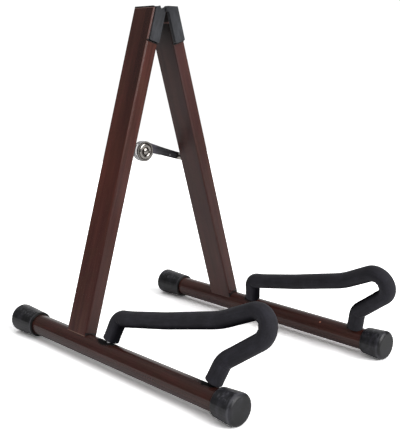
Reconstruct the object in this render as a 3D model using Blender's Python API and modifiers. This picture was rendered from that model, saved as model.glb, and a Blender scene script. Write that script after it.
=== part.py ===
"""Folding A-frame guitar stand.

Two side frames hang from one hinge pin. Each side frame is a rectangular upright welded on a round
base tube with a rubber cap at either end, and carries a bent-rod yoke in a foam sleeve. A two-link
brace behind the uprights straightens as the stand opens.

Metres, +Z up, -Y towards the yokes. The origin is on the floor, under the middle of the stand.
Each side frame is modelled upright about the hinge axis and then leaned by its empty, so in a side
frame's own space X points across the stand, Z runs up the upright and Y stays level.
"""

from math import acos, atan2, ceil, cos, pi, radians, sin, sqrt, tan

import bmesh
import bpy
from mathutils import Matrix, Vector

# Fits
SEAT_GAP = 0.0003
HINGE_GAP = 0.0003

# Side frames
LEAN = radians(16.5)
HINGE_TO_TUBE = 0.4039
HINGE_TO_INNER_FACE = 0.0006

# Base tubes and their caps
TUBE_DIAMETER = 0.0254
TUBE_WALL = 0.0015
FRONT_REACH = 0.2605
REAR_REACH = 0.1275
CAP_DIAMETER = 0.0344
CAP_MOUTH_DIAMETER = 0.0312
CAP_END_WALL = 0.006
CAP_EDGE_ROUND = 0.0042
FRONT_CAP_LENGTH = 0.0280
REAR_CAP_LENGTH = 0.0440

# Uprights and their top plugs
LEG_WIDTH = 0.0175
LEG_DEPTH = 0.0362
LEG_WALL = 0.0015
LEG_CORNER = 0.0024
PLUG_FLANGE = 0.0014
PLUG_WALL = 0.0020
PLUG_DEPTH = 0.0140

# Hinge
PIN_DIAMETER = 0.0032
PIN_HEAD_DIAMETER = 0.0054
PIN_HEAD_HEIGHT = 0.0009
EAR_RADIUS = 0.0034
SHEET = 0.0020
BRACKET_LENGTH = 0.0395
BRACKET_CORNER = 0.0012
FRONT_BRACKET_INSET = 0.0024
REAR_BRACKET_INSET = 0.0040
NECK_STEP = 0.0020
NECK_SLOPE_RUN = 0.0031
WELD_RADIUS = 0.0009
WELD_OVERRUN = 0.0012

# Yokes: bent rods in foam sleeves, measured in the side frame's plane
ROD_DIAMETER = 0.0080
ROD_INSERT = 0.0040
FOAM_DIAMETER = 0.0186
FOAM_FOOT_GAP = 0.0034
REAR_FOOT_FORWARD = 0.0501
REAR_FOOT_RAKE = radians(15.0)
REAR_BEND_HEIGHT = 0.0415
REAR_BEND_RADIUS = 0.0145
RUN_REAR_RISE = radians(12.0)
RUN_FRONT_RISE = radians(14.0)
RUN_BOW_FORWARD = 0.135
RUN_BOW_RADIUS = 0.350
HUMP_FORWARD = 0.212
HUMP_RISE = radians(25.0)
HUMP_RADIUS = 0.060
TIP_FORWARD = 0.272
TIP_RADIUS = 0.0153
RETURN_FALL = radians(36.9)
FRONT_FOOT_FORWARD = 0.2137
FRONT_FOOT_RAKE = radians(18.3)
FRONT_BEND_RADIUS = 0.024

# Folding brace behind the uprights
BRACE_STANDOFF = 0.0050
LINK_LENGTH = 0.0616
LINK_SLOPE = radians(10.75)
LINK_PIVOT_INBOARD = 0.0032
LINK_SHEET = 0.0025
LINK_EYE_RADIUS = 0.0127
LINK_END_RADIUS = 0.0046
LINK_END_RISE = 0.0005
LINK_LOWER_RISE = radians(4.2)
LINK_BACK_RISE = radians(3.8)
LINK_SHOULDER_RISE = radians(8.5)
RIVET_DIAMETER = 0.0048
RIVET_HEAD_DIAMETER = 0.0080
RIVET_HEAD_HEIGHT = 0.0018
RIVET_BULB_DIAMETER = 0.0072
RIVET_BULB_LENGTH = 0.0040
SPACER_DIAMETER = 0.0092
SHIM = 0.0006
SHIM_DIAMETER = 0.0180
FRONT_WASHER_DIAMETER = 0.0250
FRONT_WASHER_FLANGE = 0.0008
CUP_DIAMETER = 0.0204
CUP_HEIGHT = 0.0024
REAR_WASHER_DIAMETER = 0.0250
REAR_WASHER_HEIGHT = 0.0015
SCREW_DIAMETER = 0.0048
SCREW_HEAD_DIAMETER = 0.0092
SCREW_HEAD_HEIGHT = 0.0024
NUT_ACROSS = 0.0100
NUT_HEIGHT = 0.0034

# Facets
ROUND_STEPS = 32
SMALL_STEPS = 20
LINK_SWEEP_STEPS = 6
CUP_STEPS = 6
BEND_STEP = radians(11.0)
CAP_STEP = radians(18.0)
FOAM_SIDES_RESOLUTION = 4
ROD_SIDES_RESOLUTION = 2
CUT_OVERSHOOT = 0.002

# Sizes that follow from the ones above
TUBE_RADIUS = TUBE_DIAMETER / 2
CAP_RADIUS = CAP_DIAMETER / 2
ROD_RADIUS = ROD_DIAMETER / 2
FOAM_RADIUS = FOAM_DIAMETER / 2
PIN_RADIUS = PIN_DIAMETER / 2
LEG_OFFSET = HINGE_TO_INNER_FACE + LEG_WIDTH / 2
LEG_TOP_DROP = PIN_RADIUS + HINGE_GAP
TUBE_AXIS_HEIGHT = CAP_RADIUS
HINGE_HEIGHT = TUBE_AXIS_HEIGHT + HINGE_TO_TUBE * cos(LEAN) - LEG_OFFSET * sin(LEAN)
YOKE_REACH = TIP_FORWARD + FOAM_RADIUS
LEG_Y = (YOKE_REACH - REAR_REACH) / 2
LEG_FACE = LEG_DEPTH / 2
FLAT_BRACKET_FACE = LEG_FACE + SEAT_GAP + SHEET
CHANNEL_DEPTH = SHEET + HINGE_GAP + SHEET
CHANNEL_FACE = LEG_FACE + SEAT_GAP + CHANNEL_DEPTH
FRONT_LINK_FACE = LEG_FACE + BRACE_STANDOFF
SHIM_FACE = FRONT_LINK_FACE + LINK_SHEET + SEAT_GAP
REAR_LINK_FACE = SHIM_FACE + SHIM + SEAT_GAP
LINK_PIVOT_X = LINK_LENGTH * cos(LINK_SLOPE)
LINK_PIVOT_OFFSET = LEG_OFFSET - LINK_PIVOT_INBOARD
LINK_PIVOT_DROP = (LINK_PIVOT_X - LINK_PIVOT_OFFSET * cos(LEAN)) / sin(LEAN)
LINK_PIVOT_Z = HINGE_HEIGHT - LINK_PIVOT_DROP * cos(LEAN) + LINK_PIVOT_OFFSET * sin(LEAN)
BRACE_CENTRE_Z = LINK_PIVOT_Z + LINK_LENGTH * sin(LINK_SLOPE)

SIDES = {"left": -1, "right": 1}
FACES = {"front": -1, "rear": 1}
BRACKET_INSETS = {"front": FRONT_BRACKET_INSET, "rear": REAR_BRACKET_INSET}

# Finishes: colour, roughness, metallic
BROWN_PAINT = ((0.090, 0.036, 0.026, 1.0), 0.38, 0.0)
DARK_STEEL = ((0.075, 0.077, 0.082, 1.0), 0.42, 0.7)
BLACK_RUBBER = ((0.030, 0.030, 0.032, 1.0), 0.60, 0.0)
BLACK_PLASTIC = ((0.018, 0.018, 0.020, 1.0), 0.30, 0.0)
FOAM = ((0.032, 0.032, 0.036, 1.0), 0.90, 0.0)
BARE_STEEL = ((0.480, 0.480, 0.490, 1.0), 0.30, 1.0)
CHROME = ((0.780, 0.780, 0.790, 1.0), 0.12, 1.0)


def clear_scene():
    for item in list(bpy.data.objects):
        bpy.data.objects.remove(item, do_unlink=True)


def new_collection(name):
    collection = bpy.data.collections.new(name)
    bpy.context.scene.collection.children.link(collection)
    return collection


def new_material(name, finish):
    colour, roughness, metallic = finish
    material = bpy.data.materials.new(name)
    material.use_nodes = True
    shader = material.node_tree.nodes["Principled BSDF"]
    shader.inputs["Base Color"].default_value = colour
    shader.inputs["Roughness"].default_value = roughness
    shader.inputs["Metallic"].default_value = metallic
    material.diffuse_color = colour
    return material


def place(item, collection, parent, location, rotation=(0.0, 0.0, 0.0)):
    collection.objects.link(item)
    item.parent = parent
    item.location = location
    item.rotation_euler = rotation
    return item


def add_part(name, mesh, finish, parent=None, location=(0, 0, 0), rotation=(0, 0, 0)):
    item = bpy.data.objects.new(name, mesh)
    mesh.materials.clear()
    mesh.materials.append(new_material(name, finish))
    return place(item, PARTS, parent, location, rotation)


def add_cutter(name, mesh, parent=None, location=(0, 0, 0), rotation=(0, 0, 0)):
    item = bpy.data.objects.new(name, mesh)
    item.hide_render = True
    item.display_type = "WIRE"
    return place(item, CUTTERS, parent, location, rotation)


def boolean(item, cutter, operation="DIFFERENCE"):
    modifier = item.modifiers.new(cutter.name, "BOOLEAN")
    modifier.operation = operation
    modifier.solver = "EXACT"
    modifier.object = cutter


def shade(mesh, angle=radians(35)):
    mesh.shade_smooth()
    mesh.set_sharp_from_angle(angle=angle)


def rounded_corner(before, corner, after, radius):
    """Arc points that round a corner between two straight stretches, on a plane."""
    back = (before - corner).normalized()
    ahead = (after - corner).normalized()
    turn = pi - back.angle(ahead)
    if radius <= 0 or turn < 0.001:
        return [corner.copy()]
    centre = corner + (back + ahead).normalized() * radius / cos(turn / 2)
    arm = corner + back * radius * tan(turn / 2) - centre
    side = 1 if back.x * ahead.y - back.y * ahead.x < 0 else -1
    count = max(2, ceil(turn / BEND_STEP))
    return [centre + Matrix.Rotation(side * turn * i / count, 2) @ arm for i in range(count + 1)]


def rounded_path(points, radii):
    """Open path through the points with every inner corner rounded."""
    path = [points[0]]
    for before, corner, after, radius in zip(points, points[1:], points[2:], radii):
        path += rounded_corner(before, corner, after, radius)
    return path + [points[-1]]


def rounded_loop(points, radius):
    """Closed outline with every corner rounded alike."""
    loop = []
    for index, corner in enumerate(points):
        loop += rounded_corner(points[index - 1], corner, points[(index + 1) % len(points)], radius)
    return loop


def rectangle(x0, z0, x1, z1, radius):
    corners = [Vector((x0, z0)), Vector((x1, z0)), Vector((x1, z1)), Vector((x0, z1))]
    return rounded_loop(corners, radius)


def arc(centre, radius, start, end, step=BEND_STEP):
    count = max(2, ceil(abs(end - start) / step))
    angles = [start + (end - start) * i / count for i in range(count + 1)]
    return [centre + radius * Vector((cos(a), sin(a))) for a in angles]


def circle(centre, radius):
    return arc(centre, radius, 0, 2 * pi)[:-1]


def curve_to_mesh(name, curve):
    """Mesh of a curve with its loose caps welded on."""
    item = bpy.data.objects.new(name, curve)
    bpy.context.scene.collection.objects.link(item)
    evaluated = item.evaluated_get(bpy.context.evaluated_depsgraph_get())
    mesh = bpy.data.meshes.new_from_object(evaluated)
    bpy.data.objects.remove(item, do_unlink=True)
    bpy.data.curves.remove(curve)
    welded = bmesh.new()
    welded.from_mesh(mesh)
    bmesh.ops.remove_doubles(welded, verts=welded.verts, dist=0.00001)
    bmesh.ops.recalc_face_normals(welded, faces=welded.faces)
    welded.to_mesh(mesh)
    welded.free()
    mesh.name = name
    return mesh


def flat_outline(name, loops, thickness, start=0.0):
    """Sheet of the outlines' shape in X and Z, from y = start to y = start + thickness."""
    curve = bpy.data.curves.new(name, "CURVE")
    curve.dimensions = "2D"
    curve.fill_mode = "BOTH"
    curve.extrude = thickness / 2
    for loop in loops:
        spline = curve.splines.new("POLY")
        spline.points.add(len(loop) - 1)
        for point, (x, z) in zip(spline.points, loop):
            point.co = (x, z, 0, 1)
        spline.use_cyclic_u = True
    mesh = curve_to_mesh(name, curve)
    stand_up = Matrix.Rotation(pi / 2, 4, "X")
    mesh.transform(Matrix.Translation((0, start + thickness / 2, 0)) @ stand_up)
    return mesh


def prism(name, loops, height, bottom=0.0):
    """Column of the outlines' shape in X and Y, from z = bottom up."""
    mesh = flat_outline(name, loops, height, -bottom - height)
    mesh.transform(Matrix.Rotation(-pi / 2, 4, "X"))
    return mesh


def swept_tube(name, path, radius, resolution):
    """Round bar along a path in a side frame's plane: path points are (forward, up)."""
    curve = bpy.data.curves.new(name, "CURVE")
    curve.dimensions = "3D"
    curve.bevel_depth = radius
    curve.bevel_resolution = resolution
    curve.use_fill_caps = True
    spline = curve.splines.new("POLY")
    spline.points.add(len(path) - 1)
    for point, (forward, up) in zip(spline.points, path):
        point.co = (0, -forward, up, 1)
    mesh = curve_to_mesh(name, curve)
    shade(mesh, radians(60))
    return mesh


def turned(name, profile, steps=ROUND_STEPS, closed=False):
    """Mesh turned about Z from (radius, height) points, run down the outer side."""
    raw = bpy.data.meshes.new(name)
    edges = [(i, i + 1) for i in range(len(profile) - 1)]
    if closed:
        edges.append((len(profile) - 1, 0))
    raw.from_pydata([(radius, 0, height) for radius, height in profile], edges, [])
    item = bpy.data.objects.new(name, raw)
    bpy.context.scene.collection.objects.link(item)
    screw = item.modifiers.new("turn", "SCREW")
    screw.axis = "Z"
    screw.steps = steps
    screw.render_steps = steps
    screw.use_merge_vertices = True
    screw.merge_threshold = 0.00001
    evaluated = item.evaluated_get(bpy.context.evaluated_depsgraph_get())
    mesh = bpy.data.meshes.new_from_object(evaluated)
    bpy.data.objects.remove(item, do_unlink=True)
    bpy.data.meshes.remove(raw)
    mesh.name = name
    shade(mesh)
    return mesh


def ring(name, outer, inner, start, end, steps=ROUND_STEPS):
    """Tube or washer about Y."""
    profile = [(outer, end), (outer, start), (inner, start), (inner, end)]
    mesh = turned(name, profile, steps, closed=True)
    mesh.transform(Matrix.Rotation(-pi / 2, 4, "X"))
    return mesh


def rod_about_y(name, radius, start, end, steps=SMALL_STEPS):
    profile = [(0, end), (radius, end), (radius, start), (0, start)]
    mesh = turned(name, profile, steps)
    mesh.transform(Matrix.Rotation(-pi / 2, 4, "X"))
    return mesh


def side_empty(name, side):
    """Empty on the hinge axis that leans one side frame outwards."""
    item = bpy.data.objects.new(name + "_side", None)
    item.empty_display_size = 0.02
    return place(item, PARTS, None, (0, LEG_Y, HINGE_HEIGHT), (0, -side * LEAN, 0))


def cap_mesh(name, length):
    """Rubber cup, mouth at z = 0 and closed end at z = length, widening towards the end."""
    bore = TUBE_RADIUS + SEAT_GAP
    mouth = CAP_MOUTH_DIAMETER / 2
    floor = length - CAP_END_WALL
    shoulder = Vector((CAP_RADIUS - CAP_EDGE_ROUND, length - CAP_EDGE_ROUND))
    edge = arc(shoulder, CAP_EDGE_ROUND, pi / 2, 0, CAP_STEP)
    lip = min(CAP_EDGE_ROUND / 4, (mouth - bore) / 2)
    profile = [(0, length)] + [tuple(p) for p in edge]
    profile += [(mouth, lip), (mouth - lip, 0), (bore, 0), (bore, floor), (0, floor)]
    return turned(name, profile)


def add_base(name, side, parent):
    """Base tube along Y, drilled for the yoke's feet, with a cap over each end."""
    x = side * LEG_OFFSET
    front = -FRONT_REACH + CAP_END_WALL + SEAT_GAP
    rear = REAR_REACH - CAP_END_WALL - SEAT_GAP
    bore = TUBE_RADIUS - TUBE_WALL
    tube = add_part(
        name + "_base_tube",
        ring(name + "_base_tube", TUBE_RADIUS, bore, front, rear),
        BROWN_PAINT,
        parent,
        (x, 0, -HINGE_TO_TUBE),
    )
    drill = turned("drill", [(0, TUBE_DIAMETER), (ROD_RADIUS + SEAT_GAP, TUBE_DIAMETER),
                             (ROD_RADIUS + SEAT_GAP, 0), (0, 0)], SMALL_STEPS)
    feet = (("rear", REAR_FOOT_FORWARD, REAR_FOOT_RAKE), ("front", FRONT_FOOT_FORWARD, FRONT_FOOT_RAKE))
    for foot, forward, rake in feet:
        label = f"{name}_{foot}_foot_drill"
        location = (x, -forward, -HINGE_TO_TUBE)
        boolean(tube, add_cutter(label, drill, parent, location, (rake, 0, 0)))
    caps = (("front", -1, FRONT_REACH, FRONT_CAP_LENGTH), ("rear", 1, REAR_REACH, REAR_CAP_LENGTH))
    for end, direction, reach, length in caps:
        label = f"{name}_{end}_cap"
        location = (x, direction * (reach - length), -HINGE_TO_TUBE)
        turn_out = (-direction * pi / 2, 0, 0)
        add_part(label, cap_mesh(label, length), BLACK_RUBBER, parent, location, turn_out)


def add_upright(name, side, parent):
    """Rectangular tube, saddle-cut over the base tube, with its brackets' welds and a plug in its top."""
    x = side * LEG_OFFSET
    half_x = LEG_WIDTH / 2
    top = -LEG_TOP_DROP - PLUG_FLANGE - SEAT_GAP
    inside = max(LEG_CORNER - LEG_WALL, 0.0004)
    outer = rectangle(-half_x, -LEG_FACE, half_x, LEG_FACE, LEG_CORNER)
    inner = rectangle(LEG_WALL - half_x, LEG_WALL - LEG_FACE, half_x - LEG_WALL, LEG_FACE - LEG_WALL,
                      inside)
    mesh = prism(name + "_upright", [outer, inner], HINGE_TO_TUBE + top, -HINGE_TO_TUBE)
    shade(mesh)
    upright = add_part(name + "_upright", mesh, BROWN_PAINT, parent, (x, 0, 0))
    saddle = rod_about_y("saddle", TUBE_RADIUS + SEAT_GAP, -LEG_DEPTH, LEG_DEPTH, ROUND_STEPS)
    boolean(upright, add_cutter(name + "_saddle", saddle, parent, (x, 0, -HINGE_TO_TUBE)))
    hole = rod_about_y("rivet_hole", RIVET_DIAMETER / 2 + SEAT_GAP, 0, LEG_DEPTH)
    pivot = (side * LINK_PIVOT_OFFSET, 0, -LINK_PIVOT_DROP)
    boolean(upright, add_cutter(name + "_rivet_hole", hole, parent, pivot))
    for face, direction in FACES.items():
        seam = (0, direction * LEG_FACE, -LEG_TOP_DROP - BRACKET_LENGTH - SEAT_GAP - WELD_RADIUS)
        bead = weld_bead(side, BRACKET_INSETS[face])
        boolean(upright, add_cutter(f"{name}_{face}_weld", bead, parent, seam), "UNION")

    margin = LEG_WALL + SEAT_GAP
    plug_outer = rectangle(margin - half_x, margin - LEG_FACE, half_x - margin, LEG_FACE - margin, inside)
    reach = margin + PLUG_WALL
    plug_inner = rectangle(reach - half_x, reach - LEG_FACE, half_x - reach, LEG_FACE - reach, 0)
    flange = prism(name + "_top_plug", [outer], PLUG_FLANGE, -LEG_TOP_DROP - PLUG_FLANGE)
    plug = add_part(name + "_top_plug", flange, BLACK_PLASTIC, parent, (x, 0, 0))
    depth = PLUG_DEPTH + PLUG_FLANGE / 2
    skirt = prism("skirt", [plug_outer, plug_inner], depth, -LEG_TOP_DROP - PLUG_FLANGE - PLUG_DEPTH)
    boolean(plug, add_cutter(name + "_plug_skirt", skirt, parent, (x, 0, 0)), "UNION")


def weld_bead(side, bracket_inset):
    """Bead along a bracket's bottom edge, from inside the upright's inner corner past the bracket."""
    start = HINGE_TO_INNER_FACE + WELD_OVERRUN
    end = HINGE_TO_INNER_FACE + LEG_WIDTH - bracket_inset + WELD_OVERRUN
    mesh = turned("weld", [(0, end), (WELD_RADIUS, end), (WELD_RADIUS, start), (0, start)], SMALL_STEPS)
    mesh.transform(Matrix.Rotation(side * pi / 2, 4, "Y"))
    return mesh


def yoke_path(start_height, end_height):
    """Centreline of a yoke, as (forward, up) from the base tube's axis below the upright."""
    rear_foot = Vector((REAR_FOOT_FORWARD, 0))
    rear_up = Vector((sin(REAR_FOOT_RAKE), cos(REAR_FOOT_RAKE)))
    front_foot = Vector((FRONT_FOOT_FORWARD, 0))
    front_up = Vector((sin(FRONT_FOOT_RAKE), cos(FRONT_FOOT_RAKE)))
    rear_bend = rear_foot + rear_up * REAR_BEND_HEIGHT / rear_up.y
    bow = Vector((RUN_BOW_FORWARD, rear_bend.y + (RUN_BOW_FORWARD - rear_bend.x) * tan(RUN_REAR_RISE)))
    hump = Vector((HUMP_FORWARD, bow.y + (HUMP_FORWARD - bow.x) * tan(RUN_FRONT_RISE)))

    hump_side = Vector((-sin(HUMP_RISE), cos(HUMP_RISE)))
    tip_x = TIP_FORWARD - TIP_RADIUS
    tip_y = hump.y + ((tip_x - hump.x) * sin(HUMP_RISE) - TIP_RADIUS) / cos(HUMP_RISE)
    tip = Vector((tip_x, tip_y))
    last_side = Vector((sin(RETURN_FALL), -cos(RETURN_FALL)))
    return_along = Vector((-cos(RETURN_FALL), -sin(RETURN_FALL)))
    leaves = tip + last_side * TIP_RADIUS
    across = front_foot - leaves
    spread = return_along.x * -front_up.y + return_along.y * front_up.x
    distance = (across.x * -front_up.y + across.y * front_up.x) / spread
    front_bend = leaves + return_along * distance

    enters = tip + hump_side * TIP_RADIUS
    outward = rounded_path(
        [rear_foot + rear_up * start_height / rear_up.y, rear_bend, bow, hump, enters],
        [REAR_BEND_RADIUS, RUN_BOW_RADIUS, HUMP_RADIUS],
    )
    start_angle = atan2(hump_side.y, hump_side.x)
    end_angle = atan2(last_side.y, last_side.x)
    nose = arc(tip, TIP_RADIUS, start_angle, end_angle)
    inward = rounded_path(
        [leaves, front_bend, front_foot + front_up * end_height / front_up.y],
        [FRONT_BEND_RADIUS],
    )
    return outward[:-1] + nose + inward[1:]


def add_yoke(name, side, parent):
    """Bent rod standing in the base tube, and the foam sleeve round it."""
    location = (side * LEG_OFFSET, 0, -HINGE_TO_TUBE)
    seat = TUBE_RADIUS - TUBE_WALL - ROD_INSERT
    rod_path = yoke_path(seat, seat)
    rod = swept_tube(name + "_yoke_rod", rod_path, ROD_RADIUS, ROD_SIDES_RESOLUTION)
    add_part(name + "_yoke_rod", rod, BARE_STEEL, parent, location)
    foot = TUBE_RADIUS + FOAM_FOOT_GAP
    foam = swept_tube(name + "_yoke_foam", yoke_path(foot, foot), FOAM_RADIUS, FOAM_SIDES_RESOLUTION)
    sleeve = add_part(name + "_yoke_foam", foam, FOAM, parent, location)
    bore_path = yoke_path(foot - CUT_OVERSHOOT, foot - CUT_OVERSHOOT)
    bore = swept_tube("bore", bore_path, ROD_RADIUS + SEAT_GAP, ROD_SIDES_RESOLUTION)
    boolean(sleeve, add_cutter(name + "_foam_bore", bore, parent, location))


def level_top(across):
    """Point across the upright on the line that is level with the ears' tops in the open stand."""
    return Vector((across, EAR_RADIUS / cos(LEAN) - across * tan(LEAN)))


def bracket_outline(side, outer, ear_start, top_points):
    """Bracket outline about the hinge axis: ear, inner edge, bottom edge, then the given top."""
    inner = HINGE_TO_INNER_FACE
    bottom = -LEG_TOP_DROP - BRACKET_LENGTH
    ear = arc(Vector((0, 0)), EAR_RADIUS, ear_start, 2 * pi - acos(inner / EAR_RADIUS))
    corners = [Vector((inner, bottom)), Vector((outer, bottom)), top_points[0]]
    around = [ear[-1]] + corners + [top_points[-1] if len(top_points) > 1 else ear[0]]
    loop = list(ear)
    for before, corner, after in zip(around, around[1:], around[2:]):
        loop += rounded_corner(before, corner, after, BRACKET_CORNER)
    loop += top_points[1:]
    return [Vector((side * point.x, point.y)) for point in loop]


def add_flat_brackets(name, side, parent):
    """Flat hinge plates with an ear round the pin, on the upright's front and rear faces."""
    neck = Vector((HINGE_TO_INNER_FACE + 2 * EAR_RADIUS, -LEG_TOP_DROP - NECK_STEP))
    ear_start = atan2(neck.y, neck.x) + acos(EAR_RADIUS / neck.length)
    hole = rod_about_y("pin_hole", PIN_RADIUS + HINGE_GAP, -SHEET, 2 * SHEET)
    for face, direction in FACES.items():
        outer = HINGE_TO_INNER_FACE + LEG_WIDTH - BRACKET_INSETS[face]
        top_points = [level_top(outer), level_top(neck.x + NECK_SLOPE_RUN), neck]
        loop = bracket_outline(side, outer, ear_start, top_points)
        label = f"{name}_{face}_bracket"
        start = LEG_FACE + SEAT_GAP if direction > 0 else -FLAT_BRACKET_FACE
        bracket = add_part(label, flat_outline(label, [loop], SHEET, start), DARK_STEEL, parent)
        boolean(bracket, add_cutter(f"{label}_pin_hole", hole, parent, (0, start, 0)))


def add_channel_brackets(name, side, parent):
    """Channel brackets: the face passes over the other side's ear, the flanges reach the leg."""
    clearance = EAR_RADIUS + HINGE_GAP + SEAT_GAP
    hollow = CHANNEL_DEPTH - SHEET
    hole = rod_about_y("pin_hole", PIN_RADIUS + HINGE_GAP, -CHANNEL_DEPTH, 2 * CHANNEL_DEPTH)
    for face, direction in FACES.items():
        outer = HINGE_TO_INNER_FACE + LEG_WIDTH - BRACKET_INSETS[face]
        loop = bracket_outline(side, outer, pi / 2 - LEAN, [level_top(outer)])
        well_inner = side * (HINGE_TO_INNER_FACE + SHEET)
        well_outer = side * (outer - SHEET)
        well = rectangle(
            min(well_inner, well_outer), SHEET - LEG_TOP_DROP - BRACKET_LENGTH,
            max(well_inner, well_outer), -LEG_TOP_DROP - 2 * EAR_RADIUS - SHEET, BRACKET_CORNER)
        label = f"{name}_{face}_bracket"
        start = LEG_FACE + SEAT_GAP if direction > 0 else -CHANNEL_FACE
        low = start - CUT_OVERSHOOT if direction > 0 else start + SHEET
        high = low + hollow + CUT_OVERSHOOT
        bracket = add_part(label, flat_outline(label, [loop], CHANNEL_DEPTH, start), DARK_STEEL, parent)
        pocket = flat_outline("pocket", [well], high - low, low)
        boolean(bracket, add_cutter(f"{label}_pocket", pocket, parent))
        relief = rod_about_y("relief", clearance, low, high)
        boolean(bracket, add_cutter(f"{label}_ear_relief", relief, parent))
        boolean(bracket, add_cutter(f"{label}_pin_hole", hole, parent, (0, start, 0)))


def add_hinge_pin():
    """Headed pin through the four ears, along the valley between the uprights' tops."""
    seat = CHANNEL_FACE + SEAT_GAP
    end = seat + PIN_HEAD_HEIGHT
    head = PIN_HEAD_DIAMETER / 2
    crown = head - PIN_HEAD_HEIGHT / 2
    profile = [(0, end), (crown, end), (head, end - PIN_HEAD_HEIGHT / 2), (head, seat), (PIN_RADIUS, seat),
               (PIN_RADIUS, -seat), (head, -seat), (head, PIN_HEAD_HEIGHT / 2 - end), (crown, -end),
               (0, -end)]
    mesh = turned("hinge_pin", profile, SMALL_STEPS)
    add_part("hinge_pin", mesh, BARE_STEEL, None, (0, LEG_Y, HINGE_HEIGHT), (-pi / 2, 0, 0))


def link_outline(side):
    """Outline of a link about its leg pivot: a tapered strap that sweeps into a round eye."""
    eye = Vector((LINK_LENGTH, 0))
    end = Vector((0, LINK_END_RISE))
    low_start = end + LINK_END_RADIUS * Vector((sin(LINK_LOWER_RISE), -cos(LINK_LOWER_RISE)))
    low_along = Vector((cos(LINK_LOWER_RISE), sin(LINK_LOWER_RISE)))
    along = (eye - low_start).dot(low_along)
    below = (eye - low_start).length_squared - along**2
    low_end = low_start + low_along * (along - sqrt(LINK_EYE_RADIUS**2 - below))
    high_start = end + LINK_END_RADIUS * Vector((-sin(LINK_BACK_RISE), cos(LINK_BACK_RISE)))
    high_end = eye + LINK_EYE_RADIUS * Vector((-sin(LINK_SHOULDER_RISE), cos(LINK_SHOULDER_RISE)))
    run = high_end - high_start
    reach = (run.x * sin(LINK_SHOULDER_RISE) - run.y * cos(LINK_SHOULDER_RISE)) / sin(
        LINK_SHOULDER_RISE - LINK_BACK_RISE)
    bend = high_start + reach * Vector((cos(LINK_BACK_RISE), sin(LINK_BACK_RISE)))
    sweep = []
    for i in range(1, LINK_SWEEP_STEPS):
        t = i / LINK_SWEEP_STEPS
        sweep.append(high_start * (1 - t) ** 2 + bend * 2 * t * (1 - t) + high_end * t**2)
    low_angle = atan2(-low_end.y, eye.x - low_end.x) - pi
    round_end = arc(end, LINK_END_RADIUS, LINK_LOWER_RISE - pi / 2, LINK_BACK_RISE - 3 * pi / 2)
    round_eye = arc(eye, LINK_EYE_RADIUS, pi / 2 + LINK_SHOULDER_RISE, low_angle)
    outline = round_end + sweep + round_eye
    return [on_link(point, side) for point in outline]


def on_link(point, side):
    """Point measured along and across a link, as X and Z from its leg pivot."""
    x = point.y * sin(LINK_SLOPE) - point.x * cos(LINK_SLOPE)
    return Vector((side * x, point.x * sin(LINK_SLOPE) + point.y * cos(LINK_SLOPE)))


def add_brace():
    """Two links pinned to the legs' rear faces and to each other."""
    centre = (0, LEG_Y, BRACE_CENTRE_Z)
    faces = {"left": FRONT_LINK_FACE, "right": REAR_LINK_FACE}
    for name, side in SIDES.items():
        label = name + "_link"
        location = (side * LINK_PIVOT_X, LEG_Y, LINK_PIVOT_Z)
        start = faces[name]
        eye = on_link(Vector((LINK_LENGTH, 0)), side)
        loops = [link_outline(side), circle(Vector((0, 0)), RIVET_DIAMETER / 2 + HINGE_GAP),
                 circle(eye, SCREW_DIAMETER / 2 + HINGE_GAP)]
        add_part(label, flat_outline(label, loops, LINK_SHEET, start), DARK_STEEL, None, location)
        spacer = ring(label + "_spacer", SPACER_DIAMETER / 2, RIVET_DIAMETER / 2 + SEAT_GAP,
                      LEG_FACE + SEAT_GAP, start - HINGE_GAP, SMALL_STEPS)
        add_part(label + "_spacer", spacer, BARE_STEEL, None, location)
        add_part(label + "_rivet", rivet_mesh(label + "_rivet", start), BARE_STEEL, None, location)

    bore = SCREW_DIAMETER / 2 + SEAT_GAP
    washer_back = FRONT_LINK_FACE - SEAT_GAP
    washer = turned("brace_front_washer", cup_washer_profile(bore), ROUND_STEPS, closed=True)
    front = (0, LEG_Y + washer_back, BRACE_CENTRE_Z)
    add_part("brace_front_washer", washer, CHROME, None, front, (pi / 2, 0, 0))
    shim = ring("brace_shim", SHIM_DIAMETER / 2, bore, SHIM_FACE, SHIM_FACE + SHIM, SMALL_STEPS)
    add_part("brace_shim", shim, BARE_STEEL, None, centre)
    rear_seat = REAR_LINK_FACE + LINK_SHEET + SEAT_GAP
    nut_seat = rear_seat + REAR_WASHER_HEIGHT + SEAT_GAP
    rear = ring("brace_rear_washer", REAR_WASHER_DIAMETER / 2, bore, rear_seat, nut_seat - SEAT_GAP)
    add_part("brace_rear_washer", rear, CHROME, None, centre)

    head_seat = washer_back - FRONT_WASHER_FLANGE - SEAT_GAP
    screw = pan_screw("brace_screw", head_seat, SHIM_FACE + SHIM)
    add_part("brace_screw", screw, CHROME, None, centre)
    nut = add_part("brace_nut", nut_mesh("brace_nut", nut_seat), CHROME, None, centre)
    barrel = rod_about_y("barrel", SCREW_DIAMETER / 2, REAR_LINK_FACE, nut_seat + NUT_HEIGHT / 2)
    boolean(nut, add_cutter("brace_nut_barrel", barrel, None, centre), "UNION")


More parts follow.
